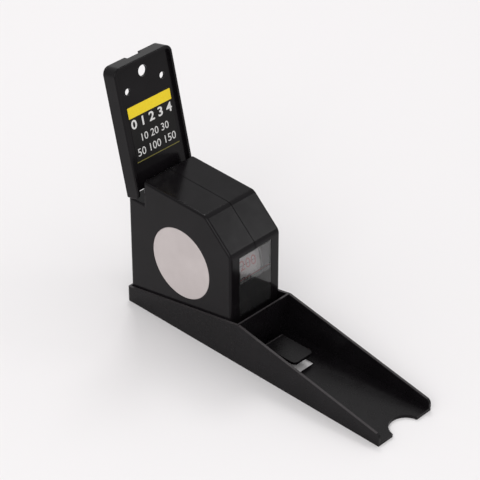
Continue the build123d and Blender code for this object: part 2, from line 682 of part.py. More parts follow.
def spring_cover():
    """Lid that closes the spring pocket and carries the right bush."""
    half = DRUM_HALF_WIDTH
    shape = rod_x(2 * (DRUM_RIM_INNER - COVER_GAP), half - DRUM_WEB, half, DRUM_Y, DRUM_Z)
    shape = shape + rod_x(DRUM_HUB_DIAMETER, half - DRUM_HUB_LENGTH, half, DRUM_Y, DRUM_Z)
    shape = shape - rod_x(BUSH_DIAMETER, 0, half + OVERCUT, DRUM_Y, DRUM_Z)
    for angle in boss_angles():
        y, z = on_drum(angle, DRUM_BOSS_CIRCLE)
        shape = shape - rod_x(DRUM_SCREW_DIAMETER + SCREW_HOLE_GAP, 0, half + OVERCUT, y, z)
    return shape


def drum_flange(side):
    """Thin disc that keeps the tape on the drum."""
    ends = sorted((side * DRUM_HALF_WIDTH, side * DRUM_FACE_X))
    shape = rod_x(2 * DRUM_FLANGE_RADIUS, ends[0], ends[1], DRUM_Y, DRUM_Z)
    low = ends[0] - OVERCUT
    high = ends[1] + OVERCUT
    shape = shape - rod_x(FLANGE_BORE, low, high, DRUM_Y, DRUM_Z)
    for angle in boss_angles():
        y, z = on_drum(angle, DRUM_BOSS_CIRCLE)
        shape = shape - rod_x(DRUM_SCREW_DIAMETER + SCREW_HOLE_GAP, low, high, y, z)
    return shape


def drum_bushes():
    """Bushes that turn on the axle."""
    bushes = []
    for side in (-1, 1):
        ends = sorted((side * DRUM_HALF_WIDTH, side * (DRUM_HALF_WIDTH - DRUM_HUB_LENGTH)))
        ring = rod_x(BUSH_DIAMETER, ends[0], ends[1], DRUM_Y, DRUM_Z)
        bore = AXLE_DIAMETER + 2 * BUSH_CLEARANCE
        bushes.append(ring - rod_x(bore, ends[0] - OVERCUT, ends[1] + OVERCUT, DRUM_Y, DRUM_Z))
    return bushes


def drum_screws():
    """Small screws that hold both flanges on the core."""
    screw = plain_screw(
        DRUM_SCREW_DIAMETER, DRUM_SCREW_LENGTH, DRUM_SCREW_HEAD, DRUM_SCREW_HEAD_HEIGHT
    )
    screws = []
    for angle in boss_angles():
        y, z = on_drum(angle, DRUM_BOSS_CIRCLE)
        for side in (-1, 1):
            screws.append(Pos(side * DRUM_FACE_X, y, z) * Rot(0, 90 * side, 0) * screw)
    return screws


def tape_anchor_pin():
    """Pin across the core that holds the inner end of the tape."""
    y, z = on_drum(-90, ANCHOR_CIRCLE)
    half = DRUM_HALF_WIDTH - TAPE_SEAT_GAP
    return rod_x(ANCHOR_DIAMETER, -half, half, y, z)


def tape_strip():
    """Straight tape from the drum up to its hinged end."""
    half = TAPE_WIDTH / 2
    thick = TAPE_THICKNESS / 2
    top = PIVOT_HEIGHT - BARREL_DIAMETER / 2 - STRIP_TOP_GAP
    shape = block(-half, half, TAPE_Y - thick, TAPE_Y + thick, DRUM_Z, top)
    for x, z in rivet_places():
        shape = shape - rod_y(RIVET_DIAMETER, TAPE_Y - OVERCUT, TAPE_Y + OVERCUT, x, z)
    return shape


def rivet_places():
    """Centres (x, z) of the rivets in the tape end."""
    z = PIVOT_HEIGHT - HOOK_DROP + CLAMP_HEIGHT / 2
    return [(side * RIVET_SPACING / 2, z) for side in (-1, 1)]


def tape_hook():
    """Leaf with a rolled barrel that hangs on the pivot pin."""
    half = TAPE_WIDTH / 2
    rear = TAPE_Y + TAPE_THICKNESS / 2
    shape = rod_x(BARREL_DIAMETER, -half, half, TAPE_Y, PIVOT_HEIGHT)
    leaf = block(-half, half, rear, rear + HOOK_THICKNESS, PIVOT_HEIGHT - HOOK_DROP, PIVOT_HEIGHT)
    shape = shape + leaf
    bore = PIN_DIAMETER + 2 * PIN_CLEARANCE
    shape = shape - rod_x(bore, -half - OVERCUT, half + OVERCUT, TAPE_Y, PIVOT_HEIGHT)
    leaf_back = rear + HOOK_THICKNESS
    for x, z in rivet_places():
        shape = shape - rod_y(RIVET_DIAMETER, rear - OVERCUT, leaf_back + OVERCUT, x, z)
    return shape


def hook_clamp():
    """Plate that presses the tape against the leaf."""
    half = TAPE_WIDTH / 2
    front = TAPE_Y - TAPE_THICKNESS / 2
    low = PIVOT_HEIGHT - HOOK_DROP
    face = front - HOOK_THICKNESS
    shape = block(-half, half, face, front, low, low + CLAMP_HEIGHT)
    for x, z in rivet_places():
        shape = shape - rod_y(RIVET_DIAMETER, face - OVERCUT, front + OVERCUT, x, z)
    return shape


def hook_rivets():
    """Rivets through the leaf and the clamp plate, each with two flat heads."""
    reach = TAPE_THICKNESS / 2 + HOOK_THICKNESS
    rivets = []
    for x, z in rivet_places():
        shank = rod_y(RIVET_DIAMETER, TAPE_Y - reach, TAPE_Y + reach, x, z)
        front = rod_y(RIVET_HEAD_DIAMETER, TAPE_Y - reach - RIVET_HEAD, TAPE_Y - reach, x, z)
        rear = rod_y(RIVET_HEAD_DIAMETER, TAPE_Y + reach, TAPE_Y + reach + RIVET_HEAD, x, z)
        rivets.append(shank + front + rear)
    return rivets


def hinge_pin():
    """Pin of the bracket, snapped into its two lugs."""
    half = LUG_INNER + LUG_WIDTH
    return LEAN * rod_x(PIN_DIAMETER, -half, half)


def bracket_lug(side):
    """Lug under the plate's lower edge, with a snap slot that is open to the rear."""
    ends = sorted((side * LUG_INNER, side * (LUG_INNER + LUG_WIDTH)))
    neck_high = PLATE_LOW + OVERLAP
    shape = block(ends[0], ends[1], PLATE_FRONT, PLATE_BACK, 0, neck_high)
    shape = shape + rod_x(2 * LUG_RADIUS, ends[0], ends[1])
    low = ends[0] - OVERCUT
    high = ends[1] + OVERCUT
    shape = shape - rod_x(PIN_DIAMETER, low, high)
    mouth = LUG_SNAP / 2
    return shape - block(low, high, 0, LUG_RADIUS + OVERCUT, -mouth, mouth)


def bracket_hollow(front, rear):
    """Space between the flanges, with rounded upper corners."""
    inner = BRACKET_WIDTH / 2 - BRACKET_FLANGE
    low = -BRACKET_BELOW_PIVOT - OVERCUT
    hollow = block(-inner, inner, front, rear, low, BRACKET_ABOVE_PIVOT - BRACKET_FLANGE)
    upper = hollow.edges().filter_by(Axis.Y).sort_by(Axis.Z)[-2:]
    return fillet(upper, BRACKET_CORNER_RADIUS - BRACKET_FLANGE)


def wall_bracket():
    """Plate set between flanges at the sides and the top, cut out at its foot round the lugs."""
    half = BRACKET_WIDTH / 2
    inner = half - BRACKET_FLANGE
    back = BRACKET_BACK_TO_PIVOT
    low = -BRACKET_BELOW_PIVOT
    high = BRACKET_ABOVE_PIVOT
    shape = block(-half, half, BRACKET_FRONT, back, low, high)
    top_corners = shape.edges().filter_by(Axis.Y).sort_by(Axis.Z)[-2:]
    shape = fillet(top_corners, BRACKET_CORNER_RADIUS)
    toe = shape.edges().filter_by(Axis.X).sort_by(lambda edge: edge.center().Y + edge.center().Z)[0]
    shape = fillet(toe, BRACKET_FOOT_RADIUS)
    foot_edges = shape.edges().filter_by(Axis.X).sort_by(Axis.Z)[:2]
    rim_edges = shape.faces().sort_by(Axis.Y)[0].edges() - foot_edges
    shape = fillet(rim_edges, BRACKET_EDGE_RADIUS)
    shape = shape - bracket_hollow(BRACKET_FRONT - OVERCUT, PLATE_FRONT)
    shape = shape - bracket_hollow(PLATE_BACK, back + OVERCUT)
    side_low = -PLATE_SIDE_BELOW_PIVOT
    shape = shape - block(-inner, inner, BRACKET_FRONT, back, low - OVERCUT, side_low)
    lug_space = LUG_INNER + LUG_WIDTH + PLATE_LUG_GAP
    shape = shape - block(-lug_space, lug_space, BRACKET_FRONT, back, low - OVERCUT, PLATE_LOW)
    notch_x = BRACKET_NOTCH_WIDTH / 2
    notch_front = back - BRACKET_NOTCH_RUN
    notch_low = high - BRACKET_FLANGE - OVERCUT
    shape = shape - block(-notch_x, notch_x, notch_front, back + OVERCUT, notch_low, high + OVERCUT)
    front = PLATE_FRONT - OVERCUT
    rear = PLATE_BACK + OVERCUT
    shape = shape - rod_y(TOP_SCREW_HOLE, front, rear, 0, TOP_SCREW_HEIGHT)
    for side in (-1, 1):
        x = side * LOWER_SCREW_SPACING / 2
        shape = shape - rod_y(LOWER_SCREW_HOLE, front, rear, x, LOWER_SCREW_HEIGHT)
        shape = shape + bracket_lug(side)
    return LEAN * shape


def bracket_label():
    """Printed label on the plate of the bracket."""
    half = LABEL_WIDTH / 2
    front = PLATE_FRONT - LABEL_THICKNESS
    return LEAN * block(-half, half, front, PLATE_FRONT, LABEL_LOW, LABEL_HIGH)


def save(name, shape):
    """Write one node; a list becomes a group of separate solids."""
    if isinstance(shape, list):
        shape = Compound(children=[solid for part in shape for solid in part.solids()])
    export_step(shape, "parts/" + name + ".step")


def main():
    os.makedirs("parts", exist_ok=True)
    left, right = case_halves()
    save("case_left", left)
    save("case_right", right)
    save("foot_tray", foot_tray())
    save("window_lens", window_lens())
    save("reading_line", reading_line())
    save("side_disc", side_disc())
    save("exit_guide", exit_guide())
    save("case_screws", case_screws())
    save("foot_screws", foot_screws())
    save("axle", axle())
    save("axle_screw", axle_screw())
    save("axle_washers", axle_washers())
    save("retraction_spring", retraction_spring())
    save("drum_core", drum_core())
    save("spring_cover", spring_cover())
    save("drum_flange_left", drum_flange(-1))
    save("drum_flange_right", drum_flange(1))
    save("drum_bushes", drum_bushes())
    save("drum_screws", drum_screws())
    save("tape_anchor_pin", tape_anchor_pin())
    save("tape_roll", tape_roll())
    save("tape_strip", tape_strip())
    save("tape_hook", tape_hook())
    save("hook_clamp", hook_clamp())
    save("hook_rivets", hook_rivets())
    save("hinge_pin", hinge_pin())
    save("wall_bracket", wall_bracket())
    save("bracket_label", bracket_label())
    tape_gap = least_gap(TAPE_PACK_RADIUS, TAPE_LOOSE_PITCH, TAPE_LOOSE_TURNS, TAPE_THICKNESS)
    print("least gap between loose turns of the tape:", round(tape_gap, 3), "mm")
    tight_length = math.pi * (TAPE_INNER_RADIUS + TAPE_PACK_RADIUS) * TAPE_TIGHT_TURNS
    loose_length = math.pi * (TAPE_PACK_RADIUS + TAPE_OUTER_RADIUS) * TAPE_LOOSE_TURNS
    print("tape wound on the drum:", round(tight_length + loose_length), "mm")
    spring_gap = least_gap(SPRING_INNER_RADIUS, SPRING_PITCH, SPRING_TURNS, SPRING_THICKNESS)
    print("least gap between turns of the spring:", round(spring_gap, 3), "mm")


main()
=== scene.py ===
import math

import bmesh
import bpy
from mathutils import Matrix, Vector


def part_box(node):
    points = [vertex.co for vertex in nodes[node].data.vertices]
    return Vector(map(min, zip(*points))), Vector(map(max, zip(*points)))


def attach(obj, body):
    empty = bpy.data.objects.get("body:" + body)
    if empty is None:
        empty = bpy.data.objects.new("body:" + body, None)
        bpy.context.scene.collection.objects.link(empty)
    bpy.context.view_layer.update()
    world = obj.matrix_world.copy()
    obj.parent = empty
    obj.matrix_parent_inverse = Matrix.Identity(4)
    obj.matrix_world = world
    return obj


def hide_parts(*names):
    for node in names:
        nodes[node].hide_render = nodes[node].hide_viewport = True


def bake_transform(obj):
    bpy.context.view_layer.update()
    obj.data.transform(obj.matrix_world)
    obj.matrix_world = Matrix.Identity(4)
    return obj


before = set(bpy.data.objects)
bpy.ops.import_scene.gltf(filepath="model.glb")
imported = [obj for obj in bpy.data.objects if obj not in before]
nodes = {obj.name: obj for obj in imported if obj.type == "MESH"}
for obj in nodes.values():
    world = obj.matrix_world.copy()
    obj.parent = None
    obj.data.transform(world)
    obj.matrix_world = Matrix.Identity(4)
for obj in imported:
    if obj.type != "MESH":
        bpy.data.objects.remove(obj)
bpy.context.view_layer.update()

# Looks of the wall stadiometer, in metres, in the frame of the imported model.
# X runs across the case, -Y points at the tip of the foot and z = 0 is its underside.

MM = 0.001

# Camera: a direction from the object, a slight roll, and where the object sits in the view
CAMERA_AZIMUTH = math.radians(-45.996)
CAMERA_ELEVATION = math.radians(34.085)
CAMERA_ROLL = math.radians(-0.012)
CAMERA_LENS = 160.421
CAMERA_SENSOR = 36.0
CAMERA_ALONG_RIGHT = 48.414 * MM
CAMERA_ALONG_UP = 26.296 * MM
CAMERA_DISTANCE = 1240.217 * MM
CAMERA_ALONG_Y = -2.0 * MM
CAMERA_NEAR = 0.01
CAMERA_FAR = 20.0

# Light: an even surround, and square lamps by name, place, size and power
SURROUND_STRENGTH = 0.755
LAMP_TARGET = (0.0, -0.09, 0.05)
LAMPS = (
    ("key", (0.45, 0.40, 0.95), 0.25, 2.1),
    ("back", (-0.05, 0.80, 1.00), 0.40, 0.8),
    ("side", (0.75, -0.80, 0.75), 0.30, 0.7),
    ("fill", (-0.90, -0.60, 0.75), 0.80, 4.6),
)
FLOOR_HALF = 4.0
FLOOR_GAP = 0.05 * MM
FLOOR_COLOUR = (0.86, 0.840, 0.846)

# Sizes that the frame gives
FOOT_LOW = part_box("foot_tray")[0]
ROLL_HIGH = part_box("tape_roll")[1]
STRIP_LOW, STRIP_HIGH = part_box("tape_strip")
CORE_LOW, CORE_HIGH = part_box("drum_core")
PIN_LOW, PIN_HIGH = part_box("hinge_pin")
LABEL_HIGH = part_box("bracket_label")[1]
LINE_LOW, LINE_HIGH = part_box("reading_line")
DRUM_Y = (CORE_LOW.y + CORE_HIGH.y) / 2
DRUM_Z = (CORE_LOW.z + CORE_HIGH.z) / 2
TAPE_Y = (STRIP_LOW.y + STRIP_HIGH.y) / 2
TAPE_HALF = ROLL_HIGH.x
PIVOT_Z = (PIN_LOW.z + PIN_HIGH.z) / 2
READING_Z = (LINE_LOW.z + LINE_HIGH.z) / 2
BRACKET_LEAN = math.radians(12.85)
LEAN_COS = math.cos(BRACKET_LEAN)
LEAN_SIN = math.sin(BRACKET_LEAN)

# Outer turn of the tape: its middle is at this radius where it leaves the drum, less before that
TAPE_THICKNESS = 0.2 * MM
TAPE_PITCH = 0.62 * MM
TAPE_OUTER_RADIUS = TAPE_Y - DRUM_Y

# Angle of the reading line above the drum's axis, and how far in the tape's sides are bare steel
READING_ANGLE = math.asin((READING_Z - DRUM_Z) / TAPE_OUTER_RADIUS)
BARE_EDGE = 0.02 * MM

# Graduations: distance apart, width and length
SHORT_MARK = (1.0 * MM, 0.2 * MM, 2.6 * MM)
MIDDLE_MARK = (5.0 * MM, 0.25 * MM, 4.0 * MM)
LONG_MARK = (10.0 * MM, 0.35 * MM, 2 * TAPE_HALF)

# Print: its lift and thickness, how high a figure is for its type size, and how near points merge
PRINT_LIFT = 0.02 * MM
PRINT_DEPTH = 0.02 * MM
FIGURE_SHARE = 0.7
MERGE_WITHIN = 0.001 * MM

# Figures on the tape: their height, how far off its middle they stand, and how far apart
FIGURE_HEIGHT = 6.0 * MM
FIGURE_SHIFT = -1.0 * MM
FIGURE_STEP = 10.0 * MM
FIGURES_EACH_WAY = 9
READING_AT_REST = 200

# Straight tape: rows along it
STRIP_ROWS = 24

# Label: its half width, and how far behind the pivot its face lies, square to the leaning plate
LABEL_HALF = LABEL_HIGH.x
LABEL_FACE = min(
    (corner.co.y - TAPE_Y) * LEAN_COS - (corner.co.z - PIVOT_Z) * LEAN_SIN
    for corner in nodes["bracket_label"].data.vertices
)

# Print on the label: bars as heights above the pivot, and rows of figures with the height
# of their middle above it, their own height, how much wider they are and how much bolder
BAND = (40.5 * MM, 46.9 * MM)
THIN_LINE = (14.4 * MM, 14.9 * MM)
LABEL_ROWS = (
    ("0 1 2 3 4", 36.3 * MM, 5.2 * MM, 1.15, 0.15 * MM),
    ("10 20 30", 27.3 * MM, 4.3 * MM, 1.0, 0.0),
    ("50 100 150", 19.6 * MM, 4.5 * MM, 1.0, 0.0),
)

# Range that most of a noise lies in
NOISE_LOW = 0.3
NOISE_HIGH = 0.7

# Painted highlight on the upward tops of the foot's walls: its colour, and how level and how high
# such faces are
TOP_HIGHLIGHT_COLOUR = (0.055, 0.050, 0.052)
TOP_HIGHLIGHT_SLOPES = (0.93, 0.995)
TOP_HIGHLIGHT_HEIGHTS = (7.0 * MM, 30.0 * MM)

# Fine turned rings of the disc
RING_SPACING = 0.25 * MM

# Black of the case, the bracket and the foot, darker and lighter in patches
BLACK_DARK = (0.0045, 0.0038, 0.0044)
BLACK_LIGHT = (0.0070, 0.0060, 0.0070)


def node_setup(name):
    """New material with its node tree and shader."""
    material = bpy.data.materials.new(name)
    material.use_nodes = True
    tree = material.node_tree
    return material, tree, tree.nodes["Principled BSDF"]


def add(tree, kind, **values):
    """Add a shader node and set its plain properties."""
    made = tree.nodes.new(kind)
    for key, value in values.items():
        setattr(made, key, value)
    return made


def noise(tree, scale, detail=3.0, roughness=0.5):
    """Noise in the object's own coordinates."""
    place = add(tree, "ShaderNodeTexCoord")
    made = add(tree, "ShaderNodeTexNoise")
    made.inputs["Scale"].default_value = scale
    made.inputs["Detail"].default_value = detail
    made.inputs["Roughness"].default_value = roughness
    tree.links.new(place.outputs["Object"], made.inputs["Vector"])
    return made.outputs["Fac"]


def spread(tree, source, low, high):
    """Map the usual range of a noise to low..high."""
    made = add(tree, "ShaderNodeMapRange")
    made.inputs["From Min"].default_value = NOISE_LOW
    made.inputs["From Max"].default_value = NOISE_HIGH
    made.inputs["To Min"].default_value = low
    made.inputs["To Max"].default_value = high
    tree.links.new(source, made.inputs["Value"])
    return made.outputs["Result"]


def mixed(tree, factor, first, second):
    """Colour between two colours or sockets."""
    made = add(tree, "ShaderNodeMix", data_type="RGBA")
    tree.links.new(factor, made.inputs["Factor"])
    for socket, value in ((made.inputs[6], first), (made.inputs[7], second)):
        if isinstance(value, tuple):
            socket.default_value = (*value, 1.0)
        else:
            tree.links.new(value, socket)
    return made.outputs[2]


def math_node(tree, operation, first, second=None):
    """One step of arithmetic on sockets or numbers."""
    made = add(tree, "ShaderNodeMath", operation=operation)
    for socket, value in zip(made.inputs, (first, second)):
        if value is None:
            continue
        if isinstance(value, (int, float)):
            socket.default_value = value
        else:
            tree.links.new(value, socket)
    return made.outputs[0]


def parts_of(tree, kind):
    """X, Y and Z of the object's own coordinates or normal."""
    place = add(tree, "ShaderNodeTexCoord")
    made = add(tree, "ShaderNodeSeparateXYZ")
    tree.links.new(place.outputs[kind], made.inputs["Vector"])
    return made.outputs


def round_drum(tree, parts):
    """Distance behind the drum's axis, above it, and from it."""
    behind = math_node(tree, "SUBTRACT", parts["Y"], DRUM_Y)
    above = math_node(tree, "SUBTRACT", parts["Z"], DRUM_Z)
    squares = math_node(
        tree,
        "ADD",
        math_node(tree, "MULTIPLY", behind, behind),
        math_node(tree, "MULTIPLY", above, above),
    )
    return behind, above, math_node(tree, "SQRT", squares)


def rings(tree, radius, spacing):
    """Wave that repeats with the distance from the drum's axis."""
    return math_node(tree, "SINE", math_node(tree, "MULTIPLY", radius, 2 * math.pi / spacing))


def uneven(tree, shader, source, rough):
    """Roughness that varies between two values."""
    tree.links.new(spread(tree, source, *rough), shader.inputs["Roughness"])


def bump(tree, shader, height, strength, distance):
    """Relief from a height."""
    made = add(tree, "ShaderNodeBump")
    made.inputs["Strength"].default_value = strength
    made.inputs["Distance"].default_value = distance
    tree.links.new(height, made.inputs["Height"])
    tree.links.new(made.outputs["Normal"], shader.inputs["Normal"])


def moulded_plastic(name, dark, light, rough, grain, shine=0.13):
    """Moulded plastic with fine grain, faint flow marks and uneven sheen."""
    material, tree, shader = node_setup(name)
    shader.inputs["Specular IOR Level"].default_value = shine
    flow = noise(tree, scale=55.0, detail=4.0, roughness=0.55)
    colour = mixed(tree, spread(tree, flow, 0.0, 1.0), dark, light)
    tree.links.new(colour, shader.inputs["Base Color"])
    uneven(tree, shader, noise(tree, scale=160.0, detail=5.0, roughness=0.6), rough)
    fine = noise(tree, scale=2600.0, detail=2.0, roughness=0.5)
    bump(tree, shader, fine, strength=grain, distance=0.05 * MM)
    return material


def rub(material, colour, slopes, heights):
    """Paint a paler highlight on upward faces of a moulded finish, between two slopes and two
    heights.
    """
    tree = material.node_tree
    shader = tree.nodes["Principled BSDF"]
    share = spread(tree, noise(tree, scale=300.0, detail=3.0, roughness=0.6), 0.75, 1.0)
    slope = parts_of(tree, "Normal")["Z"]
    height = parts_of(tree, "Object")["Z"]
    for source, (low, high) in ((slope, slopes), (height, heights)):
        above = math_node(tree, "GREATER_THAN", source, low)
        below = math_node(tree, "LESS_THAN", source, high)
        share = math_node(tree, "MULTIPLY", share, math_node(tree, "MULTIPLY", above, below))
    before = shader.inputs["Base Color"].links[0].from_socket
    tree.links.new(mixed(tree, share, before, colour), shader.inputs["Base Color"])


def metal(name, colour, rough, stretch):
    """Drawn or rolled metal with fine lines along one axis."""
    material, tree, shader = node_setup(name)
    shader.inputs["Metallic"].default_value = 1.0
    shader.inputs["Base Color"].default_value = (*colour, 1.0)
    place = add(tree, "ShaderNodeTexCoord")
    mapping = add(tree, "ShaderNodeMapping")
    mapping.inputs["Scale"].default_value = stretch
    lines = add(tree, "ShaderNodeTexNoise")
    lines.inputs["Scale"].default_value = 900.0
    lines.inputs["Detail"].default_value = 4.0
    tree.links.new(place.outputs["Object"], mapping.inputs["Vector"])
    tree.links.new(mapping.outputs["Vector"], lines.inputs["Vector"])
    uneven(tree, shader, lines.outputs["Fac"], rough)
    bump(tree, shader, lines.outputs["Fac"], strength=0.12, distance=0.02 * MM)
    return material


def satin_disc():
    """Satin plate with very fine turned rings round the axis of the drum."""
    material, tree, shader = node_setup("satin_disc")
    shader.inputs["Metallic"].default_value = 0.35
    radius = round_drum(tree, parts_of(tree, "Object"))[2]
    cloud = noise(tree, scale=70.0, detail=4.0, roughness=0.55)
    colour = mixed(
        tree, spread(tree, cloud, 0.0, 1.0), (0.530, 0.478, 0.470), (0.580, 0.527, 0.518)
    )
    tree.links.new(colour, shader.inputs["Base Color"])
    uneven(tree, shader, noise(tree, scale=1400.0), (0.42, 0.54))
    relief = math_node(tree, "MULTIPLY", rings(tree, radius, RING_SPACING), 0.5)
    bump(tree, shader, relief, strength=0.05, distance=0.01 * MM)
    return material


def clear_plastic():
    """Clear pane with faint smears."""
    material, tree, shader = node_setup("clear_plastic")
    shader.inputs["Base Color"].default_value = (0.86, 0.86, 0.87, 1.0)
    shader.inputs["Transmission Weight"].default_value = 0.98
    shader.inputs["IOR"].default_value = 1.49
    uneven(tree, shader, noise(tree, scale=240.0, detail=4.0, roughness=0.6), (0.03, 0.09))
    return material


def tape_marks(tree, distance, across):
    """1 where a graduation is printed: each millimetre, longer each fifth and tenth."""
    reach = math_node(tree, "SUBTRACT", TAPE_HALF, across)

    def band(step, width, length):
        share = math_node(tree, "FRACT", math_node(tree, "DIVIDE", distance, step))
        centred = math_node(tree, "ABSOLUTE", math_node(tree, "SUBTRACT", share, 0.5))
        on_line = math_node(tree, "GREATER_THAN", centred, 0.5 - width / step / 2)
        near_edge = math_node(tree, "LESS_THAN", reach, length)
        return math_node(tree, "MULTIPLY", on_line, near_edge)

    longer = math_node(tree, "MAXIMUM", band(*MIDDLE_MARK), band(*LONG_MARK))
    return math_node(tree, "MAXIMUM", band(*SHORT_MARK), longer)


def tape_finish(tree, shader, parts, distance):
    """Pale enamel with printed marks, and bare steel on the cut edges. Returns the edges."""
    marks = tape_marks(tree, distance, parts["X"])
    side = math_node(tree, "ABSOLUTE", parts["X"])
    edge = math_node(tree, "GREATER_THAN", side, TAPE_HALF - BARE_EDGE)
    worn = noise(tree, scale=120.0, detail=4.0, roughness=0.55)
    pale = mixed(tree, spread(tree, worn, 0.0, 1.0), (0.50, 0.460, 0.455), (0.57, 0.530, 0.525))
    printed = mixed(tree, marks, pale, (0.05, 0.03, 0.03))
    colour = mixed(tree, edge, printed, (0.30, 0.30, 0.31))
    tree.links.new(colour, shader.inputs["Base Color"])
    uneven(tree, shader, noise(tree, scale=500.0), (0.28, 0.42))
    return edge


def rolled_tape():
    """Tape wound on the drum: marks go round with the angle, wound edges show as rings."""
    material, tree, shader = node_setup("rolled_tape")
    parts = parts_of(tree, "Object")
    behind, above, radius = round_drum(tree, parts)
    angle = math_node(tree, "ARCTAN2", above, math_node(tree, "MULTIPLY", behind, -1.0))
    turned = math_node(tree, "ADD", angle, 2 * math.pi - READING_ANGLE)
    distance = math_node(tree, "MULTIPLY", turned, TAPE_OUTER_RADIUS)
    edge = tape_finish(tree, shader, parts, distance)
    relief = math_node(tree, "MULTIPLY", rings(tree, radius, TAPE_THICKNESS), edge)
    bump(tree, shader, relief, strength=0.3, distance=0.03 * MM)
    return material


def straight_tape():
    """Straight tape: marks go up with the height and keep their spacing when it is pulled."""
    material, tree, shader = node_setup("straight_tape")
    parts = parts_of(tree, "Object")
    distance = math_node(tree, "ADD", parts["Z"], 1.0)
    tape_finish(tree, shader, parts, distance)
    return material


def print_ink(name, colour, worn):
    """Printed ink that is slightly uneven."""
    material, tree, shader = node_setup(name)
    shader.inputs["Specular IOR Level"].default_value = 0.15
    patches = noise(tree, scale=900.0, detail=4.0, roughness=0.6)
    mixed_colour = mixed(tree, spread(tree, patches, 0.0, 1.0), colour, worn)
    tree.links.new(mixed_colour, shader.inputs["Base Color"])
    uneven(tree, shader, noise(tree, scale=1800.0, detail=2.0), (0.30, 0.42))
    return material


def dress(material, *names):
    """Give CAD nodes their finish."""
    for name in names:
        shown = nodes[name]
        shown.data.materials.clear()
        shown.data.materials.append(material)


def make_piece(name, made, material, body):
    """Object from a finished bmesh, riding on a body unless that is None."""
    mesh = bpy.data.meshes.new(name)
    made.to_mesh(mesh)
    made.free()
    piece = bpy.data.objects.new(name, mesh)
    bpy.context.scene.collection.objects.link(piece)
    mesh.materials.append(material)
    if body:
        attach(piece, body)
    return piece


def text_points(words, height, weight=0.0):
    """Mesh of a line of figures, centred on the origin and as high as asked."""
    curve = bpy.data.curves.new("figures", "FONT")
    curve.body = words
    curve.align_x = "CENTER"
    curve.align_y = "CENTER"
    curve.size = height / FIGURE_SHARE
    curve.extrude = PRINT_DEPTH / 2
    curve.offset = weight
    curve.resolution_u = 3
    holder = bpy.data.objects.new("figures", curve)
    bpy.context.scene.collection.objects.link(holder)
    bpy.context.view_layer.update()
    shown = holder.evaluated_get(bpy.context.evaluated_depsgraph_get())
    mesh = bpy.data.meshes.new_from_object(shown)
    made = bmesh.new()
    made.from_mesh(mesh)
    bmesh.ops.remove_doubles(made, verts=made.verts, dist=MERGE_WITHIN)
    bmesh.ops.dissolve_degenerate(made, edges=made.edges, dist=MERGE_WITHIN)
    bmesh.ops.recalc_face_normals(made, faces=made.faces)
    bpy.data.objects.remove(holder)
    bpy.data.curves.remove(curve)
    bpy.data.meshes.remove(mesh)
    return made


def join(target, extra):
    """Add one bmesh to another."""
    holder = bpy.data.meshes.new("part")
    extra.to_mesh(holder)
    extra.free()
    target.from_mesh(holder)
    bpy.data.meshes.remove(holder)


def on_drum(x, along, lift):
    """Point on the outer turn, along the tape from the reading line, upwards at the front."""
    angle = -math.pi - READING_ANGLE - along / TAPE_OUTER_RADIUS
    middle = TAPE_OUTER_RADIUS + TAPE_PITCH * angle / (2 * math.pi)
    radius = middle + TAPE_THICKNESS / 2 + lift
    return Vector((x, DRUM_Y + radius * math.cos(angle), DRUM_Z + radius * math.sin(angle)))


def tape_figures(black_ink, red_ink):
    """Plain numbers on the outer turn, one for each centimetre and each tenth one red."""
    black = bmesh.new()
    red = bmesh.new()
    for step in range(-FIGURES_EACH_WAY, FIGURES_EACH_WAY + 1):
        number = READING_AT_REST - step
        figures = text_points(str(number), FIGURE_HEIGHT)
        along = (step + 0.5) * FIGURE_STEP
        for corner in figures.verts:
            x, y, z = corner.co
            corner.co = on_drum(x + FIGURE_SHIFT, along + y, PRINT_LIFT + z)
        join(red if number % 10 == 0 else black, figures)
    make_piece("tape_figures_black", black, black_ink, "drum")
    make_piece("tape_figures_red", red, red_ink, "drum")


def label_place(x, height, lift):
    """Point on the front of the label, from its middle line and a height above the pivot."""
    front = LABEL_FACE - lift
    y = TAPE_Y + front * LEAN_COS + height * LEAN_SIN
    z = PIVOT_Z - front * LEAN_SIN + height * LEAN_COS
    return Vector((x, y, z))


def label_bar(name, heights, material):
    """Printed bar across the label."""
    low, high = heights
    made = bmesh.new()
    corners = [(-LABEL_HALF, low), (LABEL_HALF, low), (LABEL_HALF, high), (-LABEL_HALF, high)]
    front = [made.verts.new(label_place(x, z, PRINT_LIFT + PRINT_DEPTH)) for x, z in corners]
    back = [made.verts.new(label_place(x, z, PRINT_LIFT / 2)) for x, z in corners]
    made.faces.new(front)
    made.faces.new(list(reversed(back)))
    for index in range(4):
        after = (index + 1) % 4
        made.faces.new([front[index], back[index], back[after], front[after]])
    make_piece(name, made, material, "bracket")


def label_print(yellow_ink, olive_ink, white_ink):
    """Yellow band, three rows of plain numbers, and the thin line below."""
    label_bar("label_band", BAND, yellow_ink)
    label_bar("label_thin_line", THIN_LINE, olive_ink)
    scale = bmesh.new()
    for words, middle, height, wide, weight in LABEL_ROWS:
        figures = text_points(words, height, weight)
        for corner in figures.verts:
            x, y, z = corner.co
            corner.co = label_place(x * wide, middle + y, PRINT_LIFT + z)
        join(scale, figures)
    make_piece("label_scale", scale, white_ink, "bracket")


